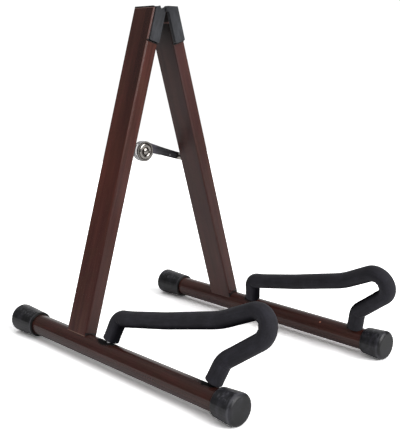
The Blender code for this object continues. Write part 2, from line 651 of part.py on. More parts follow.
def rivet_mesh(name, link_face):
    """Blind rivet: head behind the link, shank through the spacer, bulb inside the upright."""
    seat = link_face + LINK_SHEET + HINGE_GAP
    inside = LEG_FACE - LEG_WALL - SEAT_GAP
    head = RIVET_HEAD_DIAMETER / 2
    shank = RIVET_DIAMETER / 2
    bulb = RIVET_BULB_DIAMETER / 2
    profile = [(0, seat + RIVET_HEAD_HEIGHT), (head * 0.5, seat + RIVET_HEAD_HEIGHT * 0.92),
               (head * 0.85, seat + RIVET_HEAD_HEIGHT * 0.6), (head, seat), (shank, seat),
               (shank, inside), (bulb, inside - RIVET_BULB_LENGTH / 3),
               (bulb, inside - 2 * RIVET_BULB_LENGTH / 3), (shank, inside - RIVET_BULB_LENGTH),
               (0, inside - RIVET_BULB_LENGTH)]
    mesh = turned(name, profile, SMALL_STEPS)
    mesh.transform(Matrix.Rotation(-pi / 2, 4, "X"))
    return mesh


def cup_washer_profile(bore):
    """Finishing washer, flat back at z = 0: a flange round a raised ring, with a seat inside it."""
    rim = FRONT_WASHER_DIAMETER / 2
    flange = FRONT_WASHER_FLANGE
    seat = SCREW_HEAD_DIAMETER / 2 + SEAT_GAP
    middle = (CUP_DIAMETER / 2 + seat) / 2
    half = (CUP_DIAMETER / 2 - seat) / 2
    angles = [pi * (1 - i / CUP_STEPS) for i in range(CUP_STEPS + 1)]
    ridge = [(middle + half * cos(a), flange + (CUP_HEIGHT - flange) * sin(a)) for a in angles]
    return [(rim, flange), (rim, 0), (bore, 0), (bore, flange)] + ridge


def pan_screw(name, seat, end):
    """Pan-head screw about Y, head towards the front."""
    head = SCREW_HEAD_DIAMETER / 2
    shank = SCREW_DIAMETER / 2
    top = SCREW_HEAD_HEIGHT
    profile = [(0, top - seat), (head * 0.55, top * 0.95 - seat), (head * 0.88, top * 0.62 - seat),
               (head, top * 0.25 - seat), (head, -seat), (shank, -seat), (shank, -end), (0, -end)]
    mesh = turned(name, profile, SMALL_STEPS)
    mesh.transform(Matrix.Rotation(pi / 2, 4, "X"))
    return mesh


def nut_mesh(name, seat):
    """Closed hexagon nut about Y."""
    corner = NUT_ACROSS / sqrt(3)
    hexagon = [corner * Vector((cos(i * pi / 3), sin(i * pi / 3))) for i in range(6)]
    return flat_outline(name, [hexagon], NUT_HEIGHT, seat)


clear_scene()
PARTS = new_collection("guitar_stand")
CUTTERS = new_collection("cutters")
for side_name, side_sign in SIDES.items():
    frame_empty = side_empty(side_name, side_sign)
    add_base(side_name, side_sign, frame_empty)
    add_upright(side_name, side_sign, frame_empty)
    add_yoke(side_name, side_sign, frame_empty)
    if side_name == "left":
        add_flat_brackets(side_name, side_sign, frame_empty)
    else:
        add_channel_brackets(side_name, side_sign, frame_empty)
add_hinge_pin()
add_brace()
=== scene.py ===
"""Studio view of the folding guitar stand: finishes, foam sleeves, floor, lights and camera."""

from math import atan2, ceil, cos, exp, pi, radians, sin, tan

import bmesh
import bpy
from mathutils import Matrix, Vector


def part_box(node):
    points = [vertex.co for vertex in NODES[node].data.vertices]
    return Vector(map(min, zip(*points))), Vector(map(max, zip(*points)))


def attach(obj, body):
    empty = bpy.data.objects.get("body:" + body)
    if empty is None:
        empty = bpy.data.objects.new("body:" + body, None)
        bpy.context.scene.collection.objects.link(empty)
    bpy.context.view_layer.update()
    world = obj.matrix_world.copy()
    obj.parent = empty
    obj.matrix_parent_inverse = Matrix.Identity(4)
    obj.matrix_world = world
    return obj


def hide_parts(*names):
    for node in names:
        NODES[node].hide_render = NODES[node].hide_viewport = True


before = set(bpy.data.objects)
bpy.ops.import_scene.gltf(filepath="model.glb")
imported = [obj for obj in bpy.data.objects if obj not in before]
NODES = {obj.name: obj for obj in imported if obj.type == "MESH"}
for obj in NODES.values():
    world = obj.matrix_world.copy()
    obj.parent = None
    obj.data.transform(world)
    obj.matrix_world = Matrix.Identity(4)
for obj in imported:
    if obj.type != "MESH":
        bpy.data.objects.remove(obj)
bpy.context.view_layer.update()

# Places and sizes of the stand, in metres
SIDES = {"left": -1, "right": 1}
LEAN = radians(16.5)
LEG_Y = 0.0769
LEG_OFFSET = 0.00935
LEG_FACE = 0.0181
LEG_OUTER_FACE = 0.0181
LEG_INNER_EDGE = (0.0009, 0.0014)
HINGE = (0.0, LEG_Y, 0.401812)
HINGE_TO_TUBE = 0.4039
TUBE_RADIUS = 0.0127
REAR_FOOT = 0.0501
FRONT_FOOT = 0.2137
BRACE_CENTRE = (0.0, LEG_Y, 0.230647)


def srgb(r, g, b):
    """Linear colour of an 8-bit screen colour."""
    out = []
    for value in (r, g, b):
        c = value / 255
        out.append(c / 12.92 if c <= 0.04045 else ((c + 0.055) / 1.055) ** 2.4)
    return (*out, 1.0)


def grey(level):
    """Linear grey."""
    return (level, level, level, 1.0)


def shade(colour, factor):
    return (*(factor * c for c in colour[:3]), 1.0)


def toned(stops, tone=1.0):
    """Ramp stops from places and screen colours, all dimmed or lifted by a tone."""
    return [(place, shade(srgb(*colour), tone)) for place, colour in stops]


def side_matrix(side):
    """Side frame's own space: X outwards across the stand, Y level, Z up the upright."""
    lean = Matrix.Rotation(-side * LEAN, 4, "Y")
    return Matrix.Translation(HINGE) @ lean


def fill_ramp(node, stops):
    """Give a colour ramp node its stops."""
    elements = node.color_ramp.elements
    while len(elements) < len(stops):
        elements.new(0.5)
    for element, (position, colour) in zip(elements, stops):
        element.position = position
        element.color = colour


def add_object(name, data):
    made = bpy.data.objects.new(name, data)
    bpy.context.scene.collection.objects.link(made)
    return made


class Finish:
    """A Principled material with helpers for its node tree."""

    def __init__(self, name, colour, roughness, metallic=0.0, **sockets):
        self.material = bpy.data.materials.new(name)
        self.material.use_nodes = True
        self.tree = self.material.node_tree
        self.shader = self.tree.nodes["Principled BSDF"]
        self.shader.inputs["Base Color"].default_value = colour
        self.shader.inputs["Roughness"].default_value = roughness
        self.shader.inputs["Metallic"].default_value = metallic
        for socket, value in sockets.items():
            self.shader.inputs[socket.replace("_", " ")].default_value = value

    def node(self, kind):
        return self.tree.nodes.new(kind)

    def link(self, start, end):
        self.tree.links.new(start, end)

    def feed(self, value, socket):
        self.link(value, self.shader.inputs[socket])

    def coords(self, scale, rotation=(0, 0, 0)):
        """Object coordinates turned first and then scaled."""
        source = self.node("ShaderNodeTexCoord")
        turn = self.node("ShaderNodeMapping")
        turn.inputs["Rotation"].default_value = rotation
        stretch = self.node("ShaderNodeMapping")
        stretch.inputs["Scale"].default_value = scale
        self.link(source.outputs["Object"], turn.inputs["Vector"])
        self.link(turn.outputs["Vector"], stretch.inputs["Vector"])
        return stretch.outputs["Vector"]

    def noise(self, vector, scale=1.0, detail=4.0, roughness=0.55, distortion=0.0):
        made = self.node("ShaderNodeTexNoise")
        made.inputs["Scale"].default_value = scale
        made.inputs["Detail"].default_value = detail
        made.inputs["Roughness"].default_value = roughness
        made.inputs["Distortion"].default_value = distortion
        self.link(vector, made.inputs["Vector"])
        return made.outputs["Fac"]

    def ramp(self, value, stops):
        made = self.node("ShaderNodeValToRGB")
        fill_ramp(made, stops)
        self.link(value, made.inputs["Fac"])
        return made.outputs["Color"]

    def spread(self, value, low, high, start=0.3, end=0.7):
        """Go from low to high while the value goes from start to end."""
        made = self.node("ShaderNodeMapRange")
        made.inputs["From Min"].default_value = start
        made.inputs["From Max"].default_value = end
        made.inputs["To Min"].default_value = low
        made.inputs["To Max"].default_value = high
        self.link(value, made.inputs["Value"])
        return made.outputs["Result"]

    def mix(self, factor, first, second):
        """From the first colour to the second, which is a socket or a constant."""
        made = self.node("ShaderNodeMix")
        made.data_type = "RGBA"
        self.link(factor, made.inputs["Factor"])
        self.link(first, made.inputs["A"])
        if isinstance(second, tuple):
            made.inputs["B"].default_value = second
        else:
            self.link(second, made.inputs["B"])
        return made.outputs["Result"]

    def math(self, operation, first, second):
        made = self.node("ShaderNodeMath")
        made.operation = operation
        self.link(first, made.inputs[0])
        if isinstance(second, float):
            made.inputs[1].default_value = second
        else:
            self.link(second, made.inputs[1])
        return made.outputs["Value"]

    def vector(self, operation, value, first=None):
        """Vector operation between the object's coordinates, or another vector, and a fixed one."""
        made = self.node("ShaderNodeVectorMath")
        made.operation = operation
        if first is None:
            first = self.node("ShaderNodeTexCoord").outputs["Object"]
        self.link(first, made.inputs[0])
        made.inputs[1].default_value = value
        return made.outputs["Value" if operation in ("DOT_PRODUCT", "DISTANCE") else "Vector"]

    def along(self, start, axis):
        """How far a point lies from a start, measured along an axis."""
        axis = Vector(axis).normalized()
        return self.math("SUBTRACT", self.vector("DOT_PRODUCT", axis), float(Vector(start).dot(axis)))

    def off(self, value, middle=0.0):
        """Distance of a value from a middle."""
        gap = value if middle == 0.0 else self.math("SUBTRACT", value, middle)
        return self.math("ABSOLUTE", gap, 0.0)

    def off_axis_y(self, centre):
        """Distance from an axis that runs along Y through a point."""
        flat = self.vector("MULTIPLY", (1, 0, 1))
        return self.vector("DISTANCE", (centre[0], 0, centre[2]), flat)

    def near(self, value, middle, half, soft):
        """1 where a value is within half of a middle, fading to 0 over a soft width."""
        return self.spread(self.off(value, middle), 1.0, 0.0, half - soft / 2, half + soft / 2)

    def beyond(self, value, limit, soft):
        """1 where a value is past a limit, fading to 0 below it over a soft width."""
        return self.spread(value, 0.0, 1.0, limit - soft / 2, limit + soft / 2)

    def both(self, first, second):
        return self.math("MULTIPLY", first, second)

    def paint(self, colour):
        self.base = colour
        self.feed(colour, "Base Color")

    def cover(self, mask, colour):
        """Lay a screen colour over the base colour where the mask is 1."""
        self.paint(self.mix(mask, self.base, srgb(*colour)))

    def bump(self, height, strength, distance, after=None):
        made = self.node("ShaderNodeBump")
        made.inputs["Strength"].default_value = strength
        made.inputs["Distance"].default_value = distance
        self.link(height, made.inputs["Height"])
        if after is not None:
            self.link(after, made.inputs["Normal"])
        self.feed(made.outputs["Normal"], "Normal")
        return made.outputs["Normal"]


# Lacquer: places of its dark, middle and light tones on the noise, and those tones in two hues
LACQUER_STOPS = (0.37, 0.50, 0.63)
LACQUER_REDS = ((60, 31, 29), (78, 43, 38), (94, 53, 47))
LACQUER_BROWNS = ((60, 34, 29), (76, 44, 37), (90, 56, 47))
LACQUER_BUMP = 0.03
STREAK_SHARE = 0.45
PATCH_SCALE = 0.16
HUE_SCALE = (70, 70, 45)
SPECKLE_SCALE = (900, 900, 900)


def brown_paint(name, side, scale, roughness, tone):
    """Glossy dark brown lacquer: faint streaks along the piece over broad red and brown patches."""
    paint = Finish(name, srgb(76, 46, 41), roughness)
    turn = (0, side * LEAN, 0)
    streak = paint.noise(paint.coords(scale, turn), detail=6.0, roughness=0.62, distortion=0.3)
    patch = paint.noise(paint.coords([PATCH_SCALE * s for s in scale], turn),
                        detail=3.0, roughness=0.5, distortion=0.4)
    depth = paint.math("ADD", paint.math("MULTIPLY", streak, STREAK_SHARE),
                       paint.math("MULTIPLY", patch, 1 - STREAK_SHARE))
    red, brown = (paint.ramp(depth, toned(zip(LACQUER_STOPS, colours), tone))
                  for colours in (LACQUER_REDS, LACQUER_BROWNS))
    hue = paint.noise(paint.coords(HUE_SCALE), detail=2.0, roughness=0.5)
    paint.paint(paint.mix(paint.spread(hue, 0.0, 1.0, start=0.42, end=0.58), red, brown))
    speckle = paint.noise(paint.coords(SPECKLE_SCALE), detail=3.0)
    paint.gloss = paint.spread(speckle, 0.9 * roughness, 1.1 * roughness)
    paint.feed(paint.gloss, "Roughness")
    paint.bump(speckle, LACQUER_BUMP, distance=0.0001)
    return paint


# Uprights. A tone is its sides and face, its strength along one or two measures (measure, from, to,
# start, end) and its colour. A line is its sides and face, its drop below the hinge, half width and
# soft edge, and its colour. Later ones lie over earlier ones.
LEG_SCALE = (260, 160, 14)
LEG_ROUGHNESS = 0.25
LEG_RIGHT_INSIDE_ROUGHNESS = 0.42
LEG_INSIDE_STRENGTH = 0.22
LEG_INSIDE = (44, 6, 6)
LEG_MIDDLE = 0.20
# How far under a face of the upright its mask begins, and the usual soft edge
END_DEPTH = 0.0011
FRONT_DEPTH = 0.0022
OUTER_DEPTH = 0.0016
OUTER_SOFT = 0.0010
CORNER_DEPTH = 0.0008
FACE_SOFT = 0.0006
LEG_TONES = (
    # Painted light on a redder middle of the outer face, and painted shade at its top and along its front
    # edge
    (SIDES, "outer", (("off_middle", 0.30, 0.0, 0.0, 0.12),), (112, 56, 44)),
    (SIDES, "outer", (("drop", 0.30, 0.0, 0.03, 0.12),), (34, 14, 12)),
    (SIDES, "outer", (("forward", 0.0, 0.38, 0.002, 0.014), ("drop", 1.0, 0.0, 0.08, 0.30)), (22, 9, 7)),
    # Outer front corner: painted highlight above and painted shade below
    (SIDES, "corner", (("drop", 0.55, 0.0, 0.06, 0.26),), (184, 158, 154)),
    (SIDES, "corner", (("drop", 0.0, 0.75, 0.20, 0.32),), (24, 9, 8)),
    # Painted shade along the front edge at the top of the inner face
    (SIDES, "inner", (("forward", 0.0, 0.50, -0.002, 0.010), ("drop", 1.0, 0.0, 0.06, 0.12)), (26, 2, 3)),
    # Painted light on the top of the right end faces, and painted shadow under the right bracket
    (("right",), "end", (("drop", 0.32, 0.0, 0.08, 0.18),), (104, 76, 74)),
    (("right",), "front", (("drop", 0.8, 0.0, 0.041, 0.044),), (26, 16, 15)),
    # Dim lower end faces, and painted shade between the uprights at the hinge
    (SIDES, "end", (("drop", 0.0, 0.55, 0.13, 0.36),), (44, 20, 17)),
    (SIDES, "inner", (("drop", 0.9, 0.0, 0.020, 0.050),), (14, 7, 7)),
)
LEG_LINES = (
    # Painted highlight band inside the hinge, painted highlight along the rim at the top, weld under the
    # bracket darkened as painted shadow, painted highlight along the rim at the foot
    (SIDES, "inner", (0.0165, 0.0011, 0.0006), (112, 84, 80)),
    (SIDES, "side", (0.0037, 0.0006, 0.0003), (128, 104, 98)),
    (SIDES, "end", (0.0422, 0.0011, 0.0004), (8, 5, 5)),
    (("left",), "side", (0.3937, 0.0005, 0.0004), (118, 90, 78)),
    (("right",), "side", (0.3937, 0.0005, 0.0004), (84, 56, 48)),
)
# Painted shade on the end faces at the foot, where the upright meets the tube
FOOT_SHADE = (22, 12, 11)
FOOT_SHADE_DROP = {"left": 0.3897, "right": 0.3880}
FOOT_SHADE_SOFT = 0.0012


def upright_paint(name, side):
    """Lacquer with painted highlights along the top and foot, and painted shade at the hinge, under the
    bracket and at the foot.
    """
    paint = brown_paint(f"{name}_leg_paint", side, LEG_SCALE, LEG_ROUGHNESS, tone=1.0)
    drop = paint.along(HINGE, (side * sin(LEAN), 0, -cos(LEAN)))
    across = paint.along(HINGE, (side * cos(LEAN), 0, sin(LEAN)))
    forward = paint.along(HINGE, (0, -1, 0))
    end_face = paint.beyond(paint.off(forward), LEG_FACE - END_DEPTH, FACE_SOFT)
    side_face = paint.spread(end_face, 1.0, 0.0, 0.0, 1.0)
    faces = {
        "end": end_face,
        "side": side_face,
        "inner": paint.spread(across, 1.0, 0.0, *LEG_INNER_EDGE),
        "outer": paint.both(paint.beyond(across, LEG_OUTER_FACE - OUTER_DEPTH, OUTER_SOFT), side_face),
        "corner": paint.both(paint.beyond(forward, LEG_FACE - CORNER_DEPTH, FACE_SOFT),
                             paint.beyond(across, LEG_OUTER_FACE - CORNER_DEPTH, FACE_SOFT)),
        "front": paint.beyond(forward, LEG_FACE - FRONT_DEPTH, FACE_SOFT),
    }
    measures = {"drop": drop, "forward": forward, "off_middle": paint.off(drop, LEG_MIDDLE)}
    paint.cover(paint.spread(faces["inner"], 0.0, LEG_INSIDE_STRENGTH, 0.0, 1.0), LEG_INSIDE)
    for sides, face, fades, colour in LEG_TONES:
        if name in sides:
            mask = faces[face]
            for measure, *fade in fades:
                mask = paint.both(paint.spread(measures[measure], *fade), mask)
            paint.cover(mask, colour)
    for sides, face, line, colour in LEG_LINES:
        if name in sides:
            paint.cover(paint.both(paint.near(drop, *line), faces[face]), colour)
    if name == "right":
        rough = paint.math("MULTIPLY", faces["inner"], LEG_RIGHT_INSIDE_ROUGHNESS)
        paint.feed(paint.math("MAXIMUM", paint.gloss, rough), "Roughness")
    # Painted shade on the end faces at the foot
    foot_shade = paint.beyond(drop, FOOT_SHADE_DROP[name], FOOT_SHADE_SOFT)
    paint.cover(paint.both(foot_shade, end_face), FOOT_SHADE)
    return paint.material


# Base tubes: their tone, which dims them as painted shade, and the painted shadow of the foam round each
# foot of the yokes
TUBE_SCALE = (220, 14, 220)
TUBE_ROUGHNESS = 0.22
# Tones below 1 dim the tubes' lacquer as painted shade, the left tube more than the right
TUBE_SHADE_TONE = {"left": 0.52, "right": 0.72}
YOKE_SHADOW = (10, 7, 7)
YOKE_SHADOW_SIZES = {"left": (0.0140, 0.0115), "right": (0.0108, 0.0083)}
YOKE_SHADOW_EDGE = 0.0018
YOKE_SHADOW_RAGGED = 0.010
YOKE_SHADOW_SQUEEZE = Vector((1, 0.6, 1))
SPECK = (196, 128, 104)
SPECK_PLACE = (0.1149, -0.0935, 0.0264)


def tube_paint(name, side):
    """Lacquer with a painted shadow of the foam round the yoke's feet, and a light speck on the right
    tube.
    """
    paint = brown_paint(f"{name}_tube_paint", side, TUBE_SCALE, TUBE_ROUGHNESS, TUBE_SHADE_TONE[name])
    # Painted shadow of the foam on the tube round each foot of the yoke, with a ragged edge, and rougher
    # there
    edge_noise = paint.noise(paint.coords((420, 420, 420)), detail=4.0, roughness=0.7)
    ragged = paint.math("MULTIPLY", edge_noise, YOKE_SHADOW_RAGGED)
    yoke_shadows = []
    for forward, size in zip((REAR_FOOT, FRONT_FOOT), YOKE_SHADOW_SIZES[name]):
        foot = side_matrix(side) @ Vector((side * LEG_OFFSET, -forward, TUBE_RADIUS - HINGE_TO_TUBE))
        away = paint.vector("DISTANCE", foot * YOKE_SHADOW_SQUEEZE, paint.vector("MULTIPLY", YOKE_SHADOW_SQUEEZE))
        reach = paint.math("ADD", away, ragged)
        yoke_shadows.append(paint.spread(reach, 1.0, 0.0, size, size + YOKE_SHADOW_EDGE))
    yoke_shadowed = paint.math("MAXIMUM", *yoke_shadows)
    paint.cover(yoke_shadowed, YOKE_SHADOW)
    paint.feed(paint.math("MAXIMUM", paint.gloss, yoke_shadowed), "Roughness")
    # A small light speck on the right tube
    if name == "right":
        paint.cover(paint.spread(paint.vector("DISTANCE", SPECK_PLACE), 0.8, 0.0, 0.0006, 0.0016), SPECK)
    return paint.material


# Foam. Its skin is a mesh attribute: place along the sleeve, and place over and beside its middle.
SKIN = "skin"
FOAM_TONES = ((0.34, (30, 29, 34)), (0.50, (38, 37, 43)), (0.66, (48, 47, 55)))
FOAM_UNDERSIDE_SHADE = (10, 10, 12)
FOAM_UNDERSIDE_SHADE_FADE = (0.0052, 0.0086)
FOAM_SHINE_FADE = (0.0040, 0.0080)
FOAM_SPECULAR = 0.25
FOAM_SHEEN = 0.05


def foam_material():
    """Closed-cell foam: dull skin with a pebbled grain, faint wrinkles that run along the sleeve, and
    painted shade on its underside.
    """
    foam = Finish("foam", srgb(35, 35, 39), 0.82, Specular_IOR_Level=FOAM_SPECULAR,
                  Sheen_Weight=FOAM_SHEEN, Sheen_Roughness=0.6)
    skin = foam.node("ShaderNodeAttribute")
    skin.attribute_name = SKIN
    stretch = foam.vector("MULTIPLY", (38, 420, 420), skin.outputs["Vector"])
    drawn = foam.noise(stretch, detail=4.0, roughness=0.6)
    point = foam.coords((1, 1, 1))
    broad = foam.noise(point, scale=60, detail=4.0, roughness=0.6)
    mottled = foam.math("ADD", foam.math("MULTIPLY", broad, 0.6), foam.math("MULTIPLY", drawn, 0.4))
    foam.paint(foam.ramp(mottled, toned(FOAM_TONES)))
    under = foam.vector("DOT_PRODUCT", (0, -1, 0), skin.outputs["Vector"])
    # Painted shade on the sleeve's underside
    foam.cover(foam.spread(under, 0.0, 0.75, *FOAM_UNDERSIDE_SHADE_FADE), FOAM_UNDERSIDE_SHADE)
    foam.feed(foam.spread(under, FOAM_SPECULAR, 0.0, *FOAM_SHINE_FADE), "Specular IOR Level")
    foam.feed(foam.spread(under, FOAM_SHEEN, 0.0, *FOAM_SHINE_FADE), "Sheen Weight")
    cells = foam.node("ShaderNodeTexVoronoi")
    cells.inputs["Scale"].default_value = 1500
    foam.link(point, cells.inputs["Vector"])
    grain = foam.noise(point, scale=900, detail=3.0, roughness=0.7)
    foam.feed(foam.spread(grain, 0.70, 0.92), "Roughness")
    first = foam.bump(drawn, strength=0.35, distance=0.0007)
    second = foam.bump(cells.outputs["Distance"], strength=0.25, distance=0.0003, after=first)
    foam.bump(grain, strength=0.35, distance=0.0004, after=second)
    return foam.material


# Rubber caps, with places as depths from the mouth: tone, lower on the rear caps as painted shade, and
# rims with a painted highlight (place, half width)
RUBBER_TONES = ((0.36, (14, 14, 16)), (0.50, (29, 29, 33)), (0.64, (52, 51, 58)))
RUBBER_CAPS = {
    "front": (1.05, ((0.0250, 0.0010),)),
    "rear": (0.62, ((0.0024, 0.0006), (0.0405, 0.0012))),
}
RIM_HIGHLIGHT = (76, 76, 81)
TOP_HIGHLIGHT = (88, 88, 94)
TOP_HIGHLIGHT_ABOVE = 0.0275
MOUTH_SHADE = (6, 6, 6)
CLOSED_END_SHADE = (12, 12, 13)


def rubber_material(name, mouth, end):
    """Moulded rubber cap between its mouth and its closed end, places along Y, with painted highlights on
    its top and rims and painted shade at its mouth and closed end.
    """
    tone, highlit_rims = RUBBER_CAPS[name]
    length = abs(end - mouth)
    rubber = Finish(f"{name}_rubber", srgb(26, 26, 29), 0.34, Specular_IOR_Level=0.5)
    broad = rubber.noise(rubber.coords((55, 130, 55)), detail=5.0, roughness=0.65)
    rubber.paint(rubber.ramp(broad, toned(RUBBER_TONES, tone)))
    # Painted highlights in flecks on the top of the cap
    highlight_noise = rubber.noise(rubber.coords((260, 420, 260)), detail=4.0, roughness=0.7)
    top = rubber.beyond(rubber.along((0, 0, 0), (0, 0, 1)), TOP_HIGHLIGHT_ABOVE, 0.0060)
    rubber.cover(rubber.both(rubber.spread(highlight_noise, 0.0, 0.75, start=0.52, end=0.62), top), TOP_HIGHLIGHT)
    depth = rubber.along((0, mouth, 0), (0, 1 if end > mouth else -1, 0))
    # Painted highlight on the rims, in patches like scuffs
    for place, half in highlit_rims:
        worn = rubber.spread(broad, 0.1, 0.9, start=0.42, end=0.60)
        rubber.cover(rubber.both(rubber.near(depth, place, half, 0.0008), worn), RIM_HIGHLIGHT)
    # Painted shade in the mouth and on the closed end
    rubber.cover(rubber.spread(depth, 1.0, 0.0, 0.0008, 0.0012), MOUTH_SHADE)
    rubber.cover(rubber.spread(depth, 0.0, 0.62, length - 0.0022, length - 0.0003), CLOSED_END_SHADE)
    grain = rubber.noise(rubber.coords((1, 1, 1)), scale=1400, detail=2.0, roughness=0.6)
    rubber.feed(rubber.spread(broad, 0.26, 0.46), "Roughness")
    rubber.bump(grain, strength=0.15, distance=0.0002)
    return rubber.material


BRACKET_TONES = ((0.30, (56, 57, 60)), (0.50, (68, 69, 73)), (0.70, (82, 83, 88)))
# Tones below 1 dim the brackets as painted shade, the left more than the right
BRACKET_SHADE_TONE = {"left": 0.85, "right": 0.95}
BRACKET_TOP_SHADE = (40, 41, 45)


def bracket_material(name, side):
    """Dark satin steel, with painted shade towards the ears, and a brushed grain down the plate."""
    steel = Finish(f"{name}_bracket_steel", srgb(74, 75, 79), 0.46, 0.35)
    turn = (0, side * LEAN, 0)
    broad = steel.noise(steel.coords((190, 190, 60), turn), detail=4.0, roughness=0.65)
    steel.paint(steel.ramp(broad, toned(BRACKET_TONES, BRACKET_SHADE_TONE[name])))
    drop = steel.along(HINGE, (side * sin(LEAN), 0, -cos(LEAN)))
    # Painted shade towards the ears
    steel.cover(steel.spread(drop, 0.45, 0.0, 0.0, 0.020), BRACKET_TOP_SHADE)
    grain = steel.noise(steel.coords((1100, 1100, 300), turn), detail=3.0, roughness=0.7)
    steel.feed(steel.spread(grain, 0.38, 0.56), "Roughness")
    steel.bump(grain, strength=0.22, distance=0.0002)
    return steel.material


# Links of the brace, with places as distances from the brace's centre
LINK_TONES = ((0.30, (44, 44, 46)), (0.52, (60, 60, 63)), (0.72, (84, 83, 90)))
LINK_GRAIN_SLOPE = radians(12)
LINK_SHOULDER = (86, 82, 96)
LEFT_LINK_LIGHT_FIELD = (116, 114, 116)
LEFT_LINK_HIGHLIGHT_AND_SHADOW_RINGS = (((0.0148, 0.0006, 0.0004), (250, 250, 250)), ((0.0162, 0.0005, 0.0004), (30, 29, 31)))
RIGHT_LINK_WORN = (176, 176, 178)
RIGHT_LINK_WORN_PLACE = (0.0453, 0.1037, 0.2219)
LINK_POLISHED = (214, 214, 216)
LINK_POLISHED_EDGE = (0.0129, 0.0134)


def link_material(name, side):
    """Drawn steel strap: dark along its length, polished where the brace's joint rubs it, with painted
    light round the joint on the left link.
    """
    steel = Finish(f"{name}_link_steel", srgb(62, 62, 66), 0.42, 0.5)
    grain = steel.coords((90, 90, 700), (0, -side * LINK_GRAIN_SLOPE, 0))
    drawn = steel.noise(grain, detail=4.0, roughness=0.6)
    steel.paint(steel.ramp(drawn, toned(LINK_TONES)))
    outer = steel.off_axis_y(BRACE_CENTRE)
    steel.cover(steel.spread(outer, 0.7, 0.0, 0.013, 0.026), LINK_SHOULDER)
    # On the left link, painted light round the joint: a lighter field, a painted highlight ring and a
    # painted shadow ring
    if name == "left":
        steel.cover(steel.spread(outer, 1.0, 0.0, 0.020, 0.024), LEFT_LINK_LIGHT_FIELD)
        for ring, colour in LEFT_LINK_HIGHLIGHT_AND_SHADOW_RINGS:
            steel.cover(steel.near(outer, *ring), colour)
    else:
        worn = steel.vector("DISTANCE", RIGHT_LINK_WORN_PLACE)
        steel.cover(steel.spread(worn, 0.7, 0.0, 0.0008, 0.0016), RIGHT_LINK_WORN)
    joint = steel.spread(outer, 1.0, 0.0, *LINK_POLISHED_EDGE)
    steel.cover(joint, LINK_POLISHED)
    steel.feed(steel.spread(drawn, 0.30, 0.50), "Roughness")
    steel.feed(joint, "Metallic")
    steel.bump(drawn, strength=0.1, distance=0.0001)
    return steel.material


def bright_material(name, screen_colour, roughness):
    """Bright metal with faint wear."""
    colour = srgb(*screen_colour)
    metal = Finish(name, colour, roughness, 1.0)
    wear = metal.noise(metal.coords((1, 1, 1)), scale=500, detail=4.0, roughness=0.6)
    metal.feed(metal.spread(wear, 0.7 * roughness, 1.5 * roughness), "Roughness")
    metal.paint(metal.ramp(wear, [(0.3, shade(colour, 0.82)), (0.7, colour)]))
    metal.bump(wear, strength=0.05, distance=0.0001)
    return metal


ROD_BLACK = (22, 22, 23)
ROD_BLACK_BEFORE = -0.100


def rod_material():
    """Zinc rod, black by its front foot."""
    rod = bright_material("rod_zinc", (205, 205, 208), 0.28)
    place = rod.along((0, 0, 0), (0, 1, 0))
    rod.cover(rod.spread(place, 1.0, 0.0, ROD_BLACK_BEFORE - 0.001, ROD_BLACK_BEFORE + 0.001), ROD_BLACK)
    return rod.material


JOINT_LINE = (36, 31, 27)
JOINT_LINES = ((0.0049, 0.0004, 0.0003), (0.0103, 0.0004, 0.0003), (0.0124, 0.0002, 0.0003))


def chrome_material():
    """Chrome of the brace's joint, with dark lines where its rings meet."""
    chrome = bright_material("chrome", (190, 185, 179), 0.19)
    outer = chrome.off_axis_y(BRACE_CENTRE)
    for line in JOINT_LINES:
        chrome.cover(chrome.near(outer, *line), JOINT_LINE)
    return chrome.material


PIN_TOP_SHADE = (20, 20, 22)
PIN_TOP_SHADE_ABOVE = 0.0011
PIN_HEAD = (58, 59, 63)
PIN_HEAD_FROM = 0.0205


def pin_material():
    """Bright shank with painted shade along its top, under blackened heads."""
    pin = bright_material("pin_steel", (236, 236, 238), 0.30)
    # Painted shade along the top of the shank
    pin.cover(pin.beyond(pin.along(HINGE, (0, 0, 1)), PIN_TOP_SHADE_ABOVE, 0.0003), PIN_TOP_SHADE)
    head = pin.beyond(pin.off(pin.along(HINGE, (0, 1, 0))), PIN_HEAD_FROM, 0.0004)
    pin.cover(head, PIN_HEAD)
    pin.feed(pin.spread(head, 0.1, 0.3, 0.0, 1.0), "Metallic")
    return pin.material


PLASTIC_TONES = ((0.3, (26, 26, 28)), (0.7, (36, 36, 38)))


def plastic_material():
    plastic = Finish("plug_plastic", srgb(30, 30, 32), 0.32)
    grain = plastic.noise(plastic.coords((1, 1, 1)), scale=1600, detail=2.0, roughness=0.6)
    plastic.paint(plastic.ramp(grain, toned(PLASTIC_TONES)))
    plastic.feed(plastic.spread(grain, 0.26, 0.40), "Roughness")
    plastic.bump(grain, strength=0.08, distance=0.0001)
    return plastic.material


def finish_node(node, material):
    slots = NODES[node].data.materials
    slots.clear()
    slots.append(material)


def paint_nodes():
    """Every node that stays as it is gets its finish."""
    zinc = bright_material("zinc", (190, 190, 194), 0.28).material
    rod = rod_material()
    chrome = chrome_material()
    plastic = plastic_material()
    front_end, front_mouth = (corner[1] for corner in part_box("left_front_cap"))
    rear_mouth, rear_end = (corner[1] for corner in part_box("left_rear_cap"))
    front_rubber = rubber_material("front", front_mouth, front_end)
    rear_rubber = rubber_material("rear", rear_mouth, rear_end)
    for name, side in SIDES.items():
        bracket = bracket_material(name, side)
        finishes = {
            "upright": upright_paint(name, side),
            "base_tube": tube_paint(name, side),
            "top_plug": plastic,
            "front_cap": front_rubber,
            "rear_cap": rear_rubber,
            "front_bracket": bracket,
            "rear_bracket": bracket,
            "yoke_rod": rod,
            "link": link_material(name, side),
            "link_rivet": zinc,
            "link_spacer": chrome,
        }
        for node, material in finishes.items():
            finish_node(f"{name}_{node}", material)
    for node in ("brace_screw", "brace_nut", "brace_front_washer", "brace_rear_washer"):
        finish_node(node, chrome)
    finish_node("brace_shim", zinc)
    finish_node("hinge_pin", pin_material())


